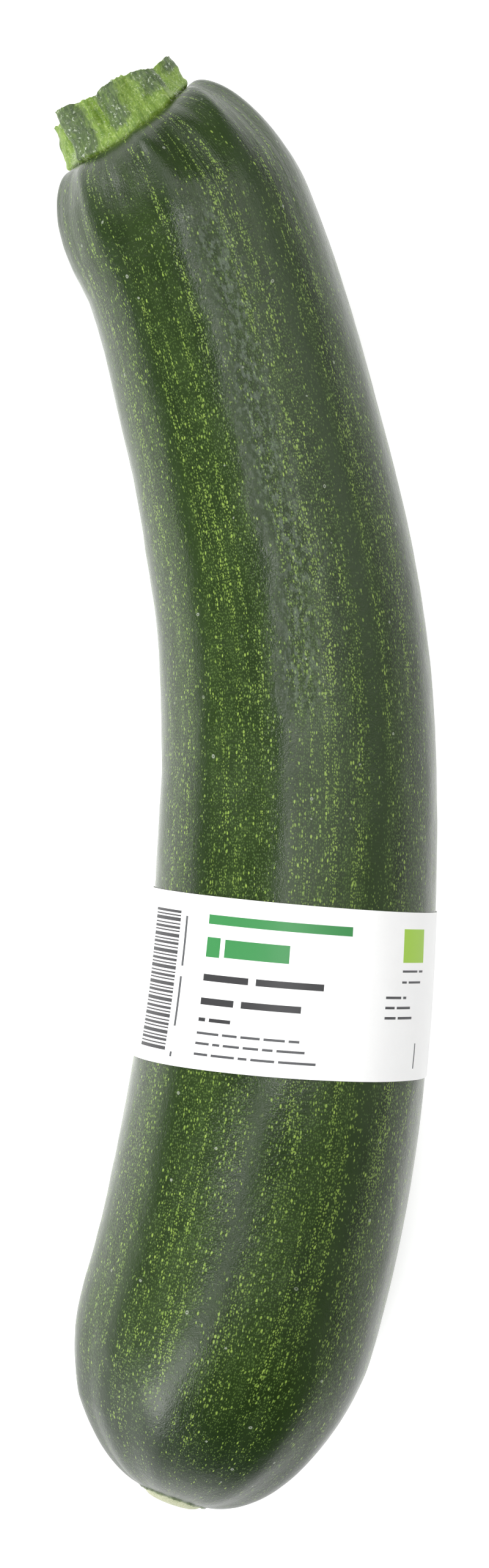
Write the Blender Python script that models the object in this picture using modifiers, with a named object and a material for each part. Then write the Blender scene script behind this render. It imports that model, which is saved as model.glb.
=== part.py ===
"""Zucchini lying on its side, with its cut stem stub and a paper band label.

Frame: metres, +Z up, the surface it lies on is z = 0.  +Y runs towards the
stem, +X to the outer side of the bend.  The origin is the middle of the
object's footprint.  All the driving dimensions below are in millimetres and
degrees.
"""
import math

import bmesh
import bpy
import numpy as np
from mathutils import Vector

MM = 0.001

# ---------------------------------------------------------------- dimensions
# The fruit is a round section swept along its bent axis.  Stations are
# distances along the axis from the stem seat.
AXIS_LENGTH = 253.2
SEAT_CENTRE = (-20.0, 117.8)            # axis start, in plan
AXIS_LEAN = ((0.0, 36.0), (20.0, 22.5), (60.0, 14.5), (110.0, 2.5),
             (160.0, -5.5), (210.0, -14.0), (253.2, -19.5))
BODY_RADIUS = ((0.0, 23.2), (60.0, 23.3), (110.0, 24.6), (160.0, 26.0),
               (210.0, 26.8), (253.2, 25.1))
SEAT_RADIUS = 13.6                      # flat seat under the stem stub
SHOULDER_LENGTH = 20.0
SHOULDER_ROUNDING = 1.7
SCAR_RADIUS = 5.0                       # blossom scar at the other end
BLOSSOM_END_LENGTH = 34.0
BLOSSOM_END_ROUNDING = 1.9

RIB_COUNT = 10
RIB_HEIGHT = 0.22                       # crest above the mean radius
RIB_OFFSET = 2.0                        # first crest, degrees from the top

# The underside is worn flat where it lies, except under the label.
FLAT_DEPTH = 0.40                       # how deep the resting flat is cut
LABEL_LIFT = 1.55                       # clearance arch under the label
ARCH_LENGTH = 92.0                      # of which the middle is level
ARCH_LEVEL = 36.0

LABEL_CENTRE = 155.6                    # station of the label's middle
LABEL_WIDTH = 30.2
LABEL_GAP = 0.32                        # between rib crests and the paper
LABEL_THICKNESS = 0.30

STEM_HEIGHT = 8.0                       # on its axis, from seat to cut
STEM_CENTRE = (-21.3, 117.1)            # middle of its base, in plan
STEM_RADIUS = 11.8                      # mean radius just above the seat
STEM_WAIST = 0.93                       # relative radius half way up
STEM_FLARE = 1.05                       # relative radius at the cut
STEM_SLANT = 0.19                       # height lost per radius to the right
STEM_SHIFT = 0.24                       # sideways drift to the right per rise
STEM_LOBES = 5
STEM_LOBE_DEPTH = 0.09                  # relative to the mean radius
STEM_TWIST = -12.0
TOUCH_GAP = 0.30

STATIONS_ALONG = 64
POINTS_AROUND = 50


# ------------------------------------------------------------------- helpers
def natural_spline(table, at):
    """Natural cubic spline through a table of (station, value) pairs."""
    x = np.array([row[0] for row in table])
    y = np.array([row[1] for row in table])
    n = len(x)
    h = np.diff(x)
    a = np.zeros((n, n))
    b = np.zeros(n)
    a[0, 0] = a[-1, -1] = 1.0
    for i in range(1, n - 1):
        a[i, i - 1] = h[i - 1]
        a[i, i] = 2.0 * (h[i - 1] + h[i])
        a[i, i + 1] = h[i]
        b[i] = 6.0 * ((y[i + 1] - y[i]) / h[i] - (y[i] - y[i - 1]) / h[i - 1])
    m = np.linalg.solve(a, b)
    at = np.asarray(at, dtype=float)
    k = np.clip(np.searchsorted(x, at) - 1, 0, n - 2)
    t0, t1 = at - x[k], x[k + 1] - at
    return (m[k] * t1 ** 3 + m[k + 1] * t0 ** 3) / (6.0 * h[k]) \
        + (y[k] / h[k] - m[k] * h[k] / 6.0) * t1 \
        + (y[k + 1] / h[k] - m[k + 1] * h[k] / 6.0) * t0


def smooth(t):
    t = np.clip(t, 0.0, 1.0)
    return t * t * (3.0 - 2.0 * t)


def body_radius(s):
    """Radius of the fruit without its rounded ends."""
    return natural_spline(BODY_RADIUS, s)


def fruit_radius(s):
    """Radius with the stem shoulder and the blossom end rounded in."""
    s = np.asarray(s, dtype=float)
    r = body_radius(s)
    t = np.clip(s / SHOULDER_LENGTH, 0.0, 1.0)
    n = SHOULDER_ROUNDING
    top = SEAT_RADIUS / r + (1.0 - SEAT_RADIUS / r) \
        * (1.0 - (1.0 - t) ** n) ** (1.0 / n)
    t = np.clip((AXIS_LENGTH - s) / BLOSSOM_END_LENGTH, 0.0, 1.0)
    n = BLOSSOM_END_ROUNDING
    end = SCAR_RADIUS / r + (1.0 - SCAR_RADIUS / r) \
        * (1.0 - (1.0 - t) ** n) ** (1.0 / n)
    return r * top * end


def axis_height(s):
    """Height of the axis: the underside touches down before and behind
    the label, and arches clear of the surface beneath it."""
    s = np.asarray(s, dtype=float)
    away = np.abs(s - LABEL_CENTRE) - ARCH_LEVEL / 2.0
    arch = smooth(1.0 - away / (ARCH_LENGTH / 2.0 - ARCH_LEVEL / 2.0))
    return body_radius(s) - FLAT_DEPTH + LABEL_LIFT * arch


def axis_table():
    """Dense plan table of the bent axis: station, x, y."""
    s = np.linspace(0.0, AXIS_LENGTH, 2001)
    lean = np.radians(natural_spline(AXIS_LEAN, s))
    dx, dy = np.sin(lean), -np.cos(lean)
    step = s[1] - s[0]
    x = SEAT_CENTRE[0] + np.concatenate(
        [[0.0], np.cumsum((dx[1:] + dx[:-1]) / 2.0) * step])
    y = SEAT_CENTRE[1] + np.concatenate(
        [[0.0], np.cumsum((dy[1:] + dy[:-1]) / 2.0) * step])
    return s, x, y


AXIS = axis_table()


def axis_point(s):
    return Vector((float(np.interp(s, AXIS[0], AXIS[1])),
                   float(np.interp(s, AXIS[0], AXIS[2])),
                   float(axis_height(s)))) * MM


def fruit_stations():
    """Stations along the axis, close together where the ends round off."""
    top = SHOULDER_LENGTH * (1.0 - np.cos(
        np.linspace(0.0, math.pi / 2.0, 13)))
    end = AXIS_LENGTH - BLOSSOM_END_LENGTH * (1.0 - np.cos(
        np.linspace(math.pi / 2.0, 0.0, 15)))
    middle = np.linspace(SHOULDER_LENGTH, AXIS_LENGTH - BLOSSOM_END_LENGTH,
                         STATIONS_ALONG - 26)
    return np.concatenate([top, middle[1:-1], end])


def new_material(name, color, roughness, metallic=0.0):
    material = bpy.data.materials.new(name)
    material.use_nodes = True
    shader = material.node_tree.nodes["Principled BSDF"]
    shader.inputs["Base Color"].default_value = (*color, 1.0)
    shader.inputs["Roughness"].default_value = roughness
    shader.inputs["Metallic"].default_value = metallic
    material.diffuse_color = (*color, 1.0)
    return material


def closed_profile(name, radius_at, count, collection):
    """Closed section outline; radius_at(angle) is relative to the path."""
    curve = bpy.data.curves.new(name, "CURVE")
    curve.dimensions = "2D"
    spline = curve.splines.new("POLY")
    spline.points.add(count - 1)
    for i, point in enumerate(spline.points):
        angle = 2.0 * math.pi * i / count
        r = radius_at(angle)
        point.co = (r * math.cos(angle), r * math.sin(angle), 0.0, 1.0)
    spline.use_cyclic_u = True
    obj = bpy.data.objects.new(name, curve)
    obj.hide_render = True
    obj.display_type = "WIRE"
    collection.objects.link(obj)
    return obj


def swept_mesh(name, points, radii, profile, caps, collection):
    """Mesh of the profile swept along the points, scaled by the radii."""
    curve = bpy.data.curves.new(name + "_path", "CURVE")
    curve.dimensions = "3D"
    curve.twist_mode = "Z_UP"
    curve.bevel_mode = "OBJECT"
    curve.bevel_object = profile
    curve.use_fill_caps = caps
    spline = curve.splines.new("POLY")
    spline.points.add(len(points) - 1)
    for point, co, radius in zip(spline.points, points, radii):
        point.co = (*co, 1.0)
        point.radius = radius
    path = bpy.data.objects.new(name + "_path", curve)
    collection.objects.link(path)
    bpy.context.view_layer.update()
    evaluated = path.evaluated_get(bpy.context.evaluated_depsgraph_get())
    mesh = bpy.data.meshes.new_from_object(evaluated)
    mesh.name = name
    bpy.data.objects.remove(path)
    bm = bmesh.new()
    bm.from_mesh(mesh)
    bmesh.ops.remove_doubles(bm, verts=bm.verts, dist=1e-6)
    bmesh.ops.recalc_face_normals(bm, faces=bm.faces)
    bm.to_mesh(mesh)
    bm.free()
    return mesh


def finish(obj, material, collection, sharp=35.0):
    obj.data.materials.clear()
    obj.data.materials.append(material)
    obj.data.shade_smooth()
    obj.data.set_sharp_from_angle(angle=math.radians(sharp))
    collection.objects.link(obj)
    return obj


# --------------------------------------------------------------------- build
def build_fruit(collection, guides):
    def ribbed(angle):
        # the profile's +Y is the top of the section
        from_top = math.pi / 2.0 - angle - math.radians(RIB_OFFSET)
        mean = float(np.mean([row[1] for row in BODY_RADIUS]))
        return 1.0 + RIB_HEIGHT / mean * math.cos(RIB_COUNT * from_top)

    profile = closed_profile("fruit_section", ribbed, POINTS_AROUND, guides)
    stations = fruit_stations()
    mesh = swept_mesh("fruit", [axis_point(s) for s in stations],
                      [float(r) * MM for r in fruit_radius(stations)],
                      profile, True, guides)
    # the flat that the fruit lies on
    bm = bmesh.new()
    bm.from_mesh(mesh)
    cut = bmesh.ops.bisect_plane(
        bm, geom=bm.verts[:] + bm.edges[:] + bm.faces[:], dist=2e-5,
        plane_co=(0.0, 0.0, 0.0), plane_no=(0.0, 0.0, -1.0),
        clear_outer=True)
    rim = [e for e in cut["geom_cut"] if isinstance(e, bmesh.types.BMEdge)]
    bmesh.ops.holes_fill(bm, edges=rim, sides=0)
    for vert in bm.verts:
        if abs(vert.co.z) < 3e-5:
            vert.co.z = 0.0
    bmesh.ops.triangulate(bm, faces=bm.faces)
    bmesh.ops.recalc_face_normals(bm, faces=bm.faces)
    bm.to_mesh(mesh)
    bm.free()
    return bpy.data.objects.new("fruit", mesh)


def build_stem(collection, guides):
    def lobed(angle):
        return 1.0 + STEM_LOBE_DEPTH * math.cos(
            STEM_LOBES * (angle - math.radians(STEM_TWIST)))

    profile = closed_profile("stem_section", lobed, 40, guides)
    seat = axis_point(0.0)
    out = (seat - axis_point(0.5)).normalized()
    right = out.cross(Vector((0.0, 0.0, 1.0))).normalized()
    plan = Vector((STEM_CENTRE[0] * MM, STEM_CENTRE[1] * MM, seat.z))
    base = seat + right * (plan - seat).dot(right) + out * (TOUCH_GAP * MM)
    heights = [0.0, 0.08, 0.25, 0.5, 0.75, 0.93, 1.0]
    widths = [0.97, 1.0, 0.98, STEM_WAIST, 0.95, 0.99, STEM_FLARE]
    points = [base + out * (STEM_HEIGHT * h * MM) for h in heights]
    mesh = swept_mesh("stem_stub", points,
                      [STEM_RADIUS * w * MM for w in widths],
                      profile, True, guides)
    # the cut slants, and the stub drifts sideways as it rises
    for vertex in mesh.vertices:
        offset = vertex.co - base
        side, rise = offset.dot(right), offset.dot(out)
        lift = -rise * STEM_SLANT * side / (STEM_RADIUS * MM)
        vertex.co += out * lift + right * (STEM_SHIFT * (rise + lift))
    return bpy.data.objects.new("stem_stub", mesh)


def build_label(collection, guides):
    profile = closed_profile("label_section", lambda angle: 1.0, 56, guides)
    stations = np.linspace(LABEL_CENTRE - LABEL_WIDTH / 2.0,
                           LABEL_CENTRE + LABEL_WIDTH / 2.0, 8)
    inner = fruit_radius(stations) + RIB_HEIGHT + LABEL_GAP
    mesh = swept_mesh("label_band", [axis_point(s) for s in stations],
                      [float(r) * MM for r in inner],
                      profile, False, guides)
    obj = bpy.data.objects.new("label_band", mesh)
    paper = obj.modifiers.new("paper", "SOLIDIFY")
    paper.thickness = LABEL_THICKNESS * MM
    paper.offset = 1.0
    return obj


def main():
    for obj in list(bpy.data.objects):
        bpy.data.objects.remove(obj, do_unlink=True)
    parts = bpy.data.collections.new("zucchini")
    guides = bpy.data.collections.new("guides")
    bpy.context.scene.collection.children.link(parts)
    bpy.context.scene.collection.children.link(guides)

    root = bpy.data.objects.new("zucchini_root", None)
    parts.objects.link(root)

    fruit = finish(build_fruit(parts, guides),
                   new_material("skin", (0.045, 0.105, 0.018), 0.38), parts)
    stem = finish(build_stem(parts, guides),
                  new_material("stem", (0.16, 0.30, 0.035), 0.55), parts)
    label = finish(build_label(parts, guides),
                   new_material("paper", (0.86, 0.86, 0.85), 0.6), parts)
    for obj in (fruit, stem, label):
        obj.parent = root

    # the origin is the middle of the footprint
    bpy.context.view_layer.update()
    corners = []
    for obj in (fruit, stem):
        corners += [v.co for v in obj.data.vertices]
    graph = bpy.context.evaluated_depsgraph_get()
    corners += [v.co for v in label.evaluated_get(graph).data.vertices]
    low = [min(c[i] for c in corners) for i in range(2)]
    high = [max(c[i] for c in corners) for i in range(2)]
    root.location = (-(low[0] + high[0]) / 2.0, -(low[1] + high[1]) / 2.0, 0.0)


main()
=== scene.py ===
import math

import bpy
import numpy as np
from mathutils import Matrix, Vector, noise


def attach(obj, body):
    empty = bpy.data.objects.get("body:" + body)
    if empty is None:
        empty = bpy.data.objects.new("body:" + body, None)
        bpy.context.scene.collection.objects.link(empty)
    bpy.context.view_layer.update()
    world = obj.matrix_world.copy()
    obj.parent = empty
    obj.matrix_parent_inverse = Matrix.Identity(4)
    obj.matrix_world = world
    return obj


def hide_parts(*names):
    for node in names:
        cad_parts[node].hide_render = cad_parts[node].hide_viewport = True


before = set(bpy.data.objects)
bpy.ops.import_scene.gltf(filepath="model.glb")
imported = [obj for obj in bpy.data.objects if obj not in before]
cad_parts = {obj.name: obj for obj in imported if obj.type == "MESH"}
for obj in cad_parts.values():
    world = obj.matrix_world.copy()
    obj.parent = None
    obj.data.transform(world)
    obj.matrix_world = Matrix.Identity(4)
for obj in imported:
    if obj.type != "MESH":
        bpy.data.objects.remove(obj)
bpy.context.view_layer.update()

# Everything below is worked out in millimetres and scaled once, at the end.
MM = 0.001

# ----------------------------------------------------------------- the axis
# The same bent axis and radii as the construction, in the row frame.
AXIS_LENGTH = 253.2
SEAT_CENTRE = (-20.0, 117.8)
AXIS_LEAN = ((0.0, 36.0), (20.0, 22.5), (60.0, 14.5), (110.0, 2.5),
             (160.0, -5.5), (210.0, -14.0), (253.2, -19.5))
BODY_RADIUS = ((0.0, 23.2), (60.0, 23.3), (110.0, 24.6), (160.0, 26.0),
               (210.0, 26.8), (253.2, 25.1))
SEAT_RADIUS = 13.6
SHOULDER_LENGTH = 20.0
SHOULDER_ROUNDING = 1.7
SCAR_RADIUS = 5.0
BLOSSOM_END_LENGTH = 34.0
BLOSSOM_END_ROUNDING = 1.9
FLAT_DEPTH = 0.40
LABEL_LIFT = 1.55
ARCH_CENTRE = 155.6
ARCH_LENGTH = 92.0
ARCH_LEVEL = 36.0
ORIGIN_SHIFT = (0.085, -0.547)
BEND_RADIUS = 320.0


def natural_spline(table, at):
    x = np.array([row[0] for row in table], float)
    y = np.array([row[1] for row in table], float)
    n = len(x)
    h = np.diff(x)
    a = np.zeros((n, n))
    b = np.zeros(n)
    a[0, 0] = a[-1, -1] = 1.0
    for i in range(1, n - 1):
        a[i, i - 1] = h[i - 1]
        a[i, i] = 2.0 * (h[i - 1] + h[i])
        a[i, i + 1] = h[i]
        b[i] = 6.0 * ((y[i + 1] - y[i]) / h[i] - (y[i] - y[i - 1]) / h[i - 1])
    m = np.linalg.solve(a, b)
    at = np.asarray(at, float)
    k = np.clip(np.searchsorted(x, at) - 1, 0, n - 2)
    t0, t1 = at - x[k], x[k + 1] - at
    return (m[k] * t1 ** 3 + m[k + 1] * t0 ** 3) / (6.0 * h[k]) \
        + (y[k] / h[k] - m[k] * h[k] / 6.0) * t1 \
        + (y[k + 1] / h[k] - m[k + 1] * h[k] / 6.0) * t0


def smooth(t):
    t = np.clip(t, 0.0, 1.0)
    return t * t * (3.0 - 2.0 * t)


def fruit_radius(s):
    s = np.asarray(s, float)
    r = natural_spline(BODY_RADIUS, s)
    t = np.clip(s / SHOULDER_LENGTH, 0.0, 1.0)
    n = SHOULDER_ROUNDING
    top = SEAT_RADIUS / r + (1.0 - SEAT_RADIUS / r) \
        * (1.0 - (1.0 - t) ** n) ** (1.0 / n)
    t = np.clip((AXIS_LENGTH - s) / BLOSSOM_END_LENGTH, 0.0, 1.0)
    n = BLOSSOM_END_ROUNDING
    end = SCAR_RADIUS / r + (1.0 - SCAR_RADIUS / r) \
        * (1.0 - (1.0 - t) ** n) ** (1.0 / n)
    return r * top * end


def axis_height(s):
    away = np.abs(s - ARCH_CENTRE) - ARCH_LEVEL / 2.0
    arch = smooth(1.0 - away / (ARCH_LENGTH / 2.0 - ARCH_LEVEL / 2.0))
    return natural_spline(BODY_RADIUS, s) - FLAT_DEPTH + LABEL_LIFT * arch


_s = np.linspace(0.0, AXIS_LENGTH, 2001)
_lean = np.radians(natural_spline(AXIS_LEAN, _s))
_dx, _dy = np.sin(_lean), -np.cos(_lean)
_x = SEAT_CENTRE[0] + ORIGIN_SHIFT[0] + np.concatenate(
    [[0.0], np.cumsum((_dx[1:] + _dx[:-1]) / 2.0) * _s[1]])
_y = SEAT_CENTRE[1] + ORIGIN_SHIFT[1] + np.concatenate(
    [[0.0], np.cumsum((_dy[1:] + _dy[:-1]) / 2.0) * _s[1]])


def axis(s):
    """Axis point, and the unit vector to the outer (right) side, in plan."""
    s = np.asarray(s, float)
    lean = np.radians(natural_spline(AXIS_LEAN, s))
    point = np.stack([np.interp(s, _s, _x), np.interp(s, _s, _y),
                      axis_height(s)], -1)
    right = np.stack([np.cos(lean), np.sin(lean), np.zeros_like(lean)], -1)
    return point, right


def perlin(points, seed=0.0):
    """Perlin noise at an (n, 3) array of points."""
    off = Vector((seed * 17.3, seed * 9.1, seed * 4.7))
    return np.array([noise.noise(Vector(p) + off) for p in points.tolist()])


# --------------------------------------------------------------- mesh helpers
def mesh_object(name, verts, faces, smooth_faces=True):
    mesh = bpy.data.meshes.new(name)
    mesh.from_pydata((np.asarray(verts) * MM).tolist(), [], faces)
    mesh.update()
    if smooth_faces:
        mesh.shade_smooth()
    obj = bpy.data.objects.new(name, mesh)
    bpy.context.scene.collection.objects.link(obj)
    return obj


def point_attribute(obj, name, values):
    values = np.asarray(values, np.float32)
    if values.ndim == 2:
        layer = obj.data.attributes.new(name, "FLOAT_VECTOR", "POINT")
        layer.data.foreach_set("vector", values.ravel())
    else:
        layer = obj.data.attributes.new(name, "FLOAT", "POINT")
        layer.data.foreach_set("value", values)


def corner_uv(obj, name, uv):
    layer = obj.data.uv_layers.new(name=name)
    layer.data.foreach_set("uv", np.asarray(uv, np.float32).ravel())


def ring_faces(rows, count, first=0):
    """Quads between consecutive rings of count vertices, outward facing
    when the rings run down the axis and the angle runs to the right."""
    faces = []
    for i in range(rows - 1):
        a = first + i * count
        b = a + count
        for j in range(count):
            k = (j + 1) % count
            faces.append((a + j, a + k, b + k, b + j))
    return faces


# ------------------------------------------------------------ node shorthand
class Nodes:
    def __init__(self, name):
        self.material = bpy.data.materials.new(name)
        self.material.use_nodes = True
        self.tree = self.material.node_tree
        self.tree.nodes.clear()
        self.out = self.add("ShaderNodeOutputMaterial")
        self.shader = self.add("ShaderNodeBsdfPrincipled")
        self.link(self.shader.outputs[0], self.out.inputs["Surface"])

    def add(self, kind, **settings):
        node = self.tree.nodes.new(kind)
        for key, value in settings.items():
            setattr(node, key, value)
        return node

    def link(self, a, b):
        self.tree.links.new(a, b)

    def put(self, socket, value):
        if isinstance(value, bpy.types.NodeSocket):
            self.link(value, socket)
        elif isinstance(value, (tuple, list)):
            size = len(socket.default_value)
            socket.default_value = (tuple(value) + (1.0,) * size)[:size]
        else:
            socket.default_value = value

    def attribute(self, name, vector=False):
        node = self.add("ShaderNodeAttribute", attribute_name=name)
        return node.outputs["Vector" if vector else "Fac"]

    def uv(self, name):
        return self.add("ShaderNodeUVMap", uv_map=name).outputs[0]

    def math(self, operation, a, b=0.0, c=0.0, clamp=False):
        node = self.add("ShaderNodeMath", operation=operation,
                        use_clamp=clamp)
        for i, value in enumerate((a, b, c)):
            self.put(node.inputs[i], value)
        return node.outputs[0]

    def vector(self, operation, a, b=(0.0, 0.0, 0.0)):
        node = self.add("ShaderNodeVectorMath", operation=operation)
        self.put(node.inputs[0], a)
        self.put(node.inputs[1], b)
        return node.outputs[0]

    def noise(self, vector, scale, detail=2.0, roughness=0.5, dims="3D"):
        node = self.add("ShaderNodeTexNoise", noise_dimensions=dims)
        self.put(node.inputs["Vector"], vector)
        self.put(node.inputs["Scale"], scale)
        self.put(node.inputs["Detail"], detail)
        self.put(node.inputs["Roughness"], roughness)
        return node.outputs["Fac"]

    def voronoi(self, vector, scale=1.0, randomness=1.0, dims="2D",
                feature="F1"):
        node = self.add("ShaderNodeTexVoronoi", voronoi_dimensions=dims,
                        feature=feature)
        self.put(node.inputs["Vector"], vector)
        self.put(node.inputs["Scale"], scale)
        if "Randomness" in node.inputs:
            self.put(node.inputs["Randomness"], randomness)
        return node

    def ramp(self, value, low, high, to_low=0.0, to_high=1.0):
        """Smooth step from low to high."""
        node = self.add("ShaderNodeMapRange",
                        interpolation_type="SMOOTHSTEP")
        self.put(node.inputs[0], value)
        for i, number in enumerate((low, high, to_low, to_high)):
            self.put(node.inputs[i + 1], number)
        return node.outputs[0]

    def mix(self, factor, a, b, blend="MIX"):
        node = self.add("ShaderNodeMix", data_type="RGBA", blend_type=blend)
        self.put(node.inputs[0], factor)
        self.put(node.inputs[6], a)
        self.put(node.inputs[7], b)
        return node.outputs[2]

    def bump(self, height, distance, strength=1.0, normal=None):
        node = self.add("ShaderNodeBump")
        node.inputs["Strength"].default_value = strength
        node.inputs["Distance"].default_value = distance
        self.put(node.inputs["Height"], height)
        if normal is not None:
            self.link(normal, node.inputs["Normal"])
        return node.outputs[0]

    def set(self, **values):
        for key, value in values.items():
            self.put(self.shader.inputs[key.replace("_", " ")], value)


# --------------------------------------------------------------------- fruit
AROUND = 232
RIB_START = -5.0            # degrees from the top
RIB_DRIFT = (-3.0, 1.0, -2.0, 3.0, -4.0, 2.0, -3.0, 4.0, 3.0, -5.0)
RIB_AT_SEAT = (0.0, 17.0, 3.0, 0.0, 0.0, 0.0, 0.0, 0.0, -3.0, -10.0)
RIB_AT_END = (-13.0, 4.0, 0.0, 0.0, 0.0, 0.0, 0.0, 0.0, 0.0, -6.0)


def rib_angles(s):
    """Angle of each of the ten ribs at stations s, in degrees."""
    s = np.asarray(s, float)
    t = s / AXIS_LENGTH
    return np.stack([RIB_START + 36.0 * k + RIB_DRIFT[k] * t
                     + RIB_AT_SEAT[k] * np.exp(-s / 8.0)
                     + RIB_AT_END[k] * smooth((s - 195.0) / 50.0)
                     + 0.8 * np.sin(9.0 * t + 2.1 * k) for k in range(10)])


def wrapped(a):
    return (a + 180.0) % 360.0 - 180.0


def band(x, low, high, soft):
    return smooth((x - low) / soft) * smooth((high - x) / soft)


def crest_at(s, deg, width):
    """1 on a rib's crest, falling to 0 between ribs."""
    out = np.zeros_like(deg)
    angles = rib_angles(s)
    for k in range(10):
        d = wrapped(deg - angles[k])
        out = np.maximum(out, np.exp(-(d / width) ** 2))
    return out


def broad_relief(s, deg):
    """Ribs, hollows and slow undulation of the skin, without fine lumps."""
    phi = np.radians(deg)
    seat_side = np.exp(-((s - 3.0) / 13.0) ** 2)
    near_seat = np.exp(-(s / 8.0) ** 2)
    scar_side = np.exp(-((AXIS_LENGTH - 9.0 - s) / 17.0) ** 2)
    out = (crest_at(s, deg, 9.5) - 0.42) * (0.11 + 0.62 * seat_side
                                            + 0.42 * scar_side)
    out += (crest_at(s, deg, 5.0) - 0.2) * 0.42 * near_seat
    cyl = np.stack([25.0 * np.cos(phi), 25.0 * np.sin(phi), s], -1)
    cyl = cyl.reshape(-1, 3)
    out += 0.30 * perlin(cyl * np.array([1 / 21, 1 / 21, 1 / 38]),
                         1).reshape(s.shape)

    def hollow(depth, angle, at, width, length):
        return depth * np.exp(-((deg - angle) / width) ** 2
                              - ((s - at) / length) ** 2)

    out -= hollow(0.95, 13.0, 9.5, 9.0, 6.0)
    out -= hollow(0.40, -24.0, 7.0, 8.0, 5.0)
    out -= hollow(0.35, 31.0, 5.0, 6.0, 7.0)
    out += hollow(0.30, -3.0, 5.0, 6.0, 5.0)
    # the end is drawn down between the ribs on the front side
    out -= hollow(1.20, 14.0, 231.0, 18.0, 11.0)
    out += hollow(0.60, -28.0, 233.0, 12.0, 9.0)
    # the outline seen from above
    out += TRIM_LEFT(s) * np.exp(-((deg + 90.0) / 38.0) ** 2)
    out += TRIM_RIGHT(s) * np.exp(-((deg - 90.0) / 38.0) ** 2)
    return out


LEFT_TABLE = ((0.0, 0.5), (8.0, 0.4), (18.0, -0.6), (26.0, -1.3),
              (36.0, -1.1), (48.0, -0.5), (60.0, -0.4), (75.0, 0.2),
              (120.0, 0.0), (135.0, 0.35), (205.0, 0.0), (215.0, 0.2),
              (228.0, 1.0), (240.0, 1.45), (246.0, 0.6), (253.2, 0.0))
RIGHT_TABLE = ((0.0, -0.4), (20.0, -0.3), (60.0, -0.2), (120.0, -0.15),
               (140.0, -0.45), (235.0, -0.45), (246.0, -0.1), (253.2, 0.0))


def TRIM_LEFT(s):
    return np.interp(s, [a for a, _ in LEFT_TABLE],
                     [b for _, b in LEFT_TABLE])


def TRIM_RIGHT(s):
    return np.interp(s, [a for a, _ in RIGHT_TABLE],
                     [b for _, b in RIGHT_TABLE])


def seat_tilt(s, height):
    """The seat leans back, and the skin rises at both of its sides."""
    return (1.9 * height - 1.7 * (1.0 - height ** 2)) \
        * np.exp(-np.asarray(s) / 7.0)


def end_tilt(s, height):
    """The blossom end turns up a little."""
    return 0.18 * height * np.exp(-(AXIS_LENGTH - np.asarray(s)) / 7.0)


def fruit_rows():
    """Rings from the seat's middle to the scar's middle: station along the
    axis, radius without relief, and offset along the axis beyond it."""
    s = [0.0] * 7
    rho = [2.0, 6.0, 9.6, 11.2, 12.0, 12.7, 13.3]
    sink = [1.2, 1.2, 1.2, 1.15, 0.95, 0.55, 0.2]
    top = SHOULDER_LENGTH * (1.0 - np.cos(np.linspace(0, math.pi / 2, 58)))
    end = AXIS_LENGTH - BLOSSOM_END_LENGTH * (1.0 - np.cos(
        np.linspace(math.pi / 2, 0.10, 70)))
    middle = np.linspace(top[-1], end[0], 262)[1:-1]
    body = np.concatenate([top, middle, end])
    s += list(body)
    rho += list(fruit_radius(body))
    sink += [0.0] * len(body)
    # the blossom scar: a rough rim, then a slightly domed pale disc
    last = rho[-1]
    for t, out in ((0.97, 0.10), (0.93, 0.32), (0.89, 0.42), (0.84, 0.36),
                   (0.79, 0.50), (0.72, 0.86), (0.62, 1.20), (0.5, 1.42),
                   (0.36, 1.56), (0.22, 1.64), (0.08, 1.66)):
        s.append(float(body[-1]))
        rho.append(last * t)
        sink.append(-out)
    return np.array(s), np.array(rho), np.array(sink)


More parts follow.
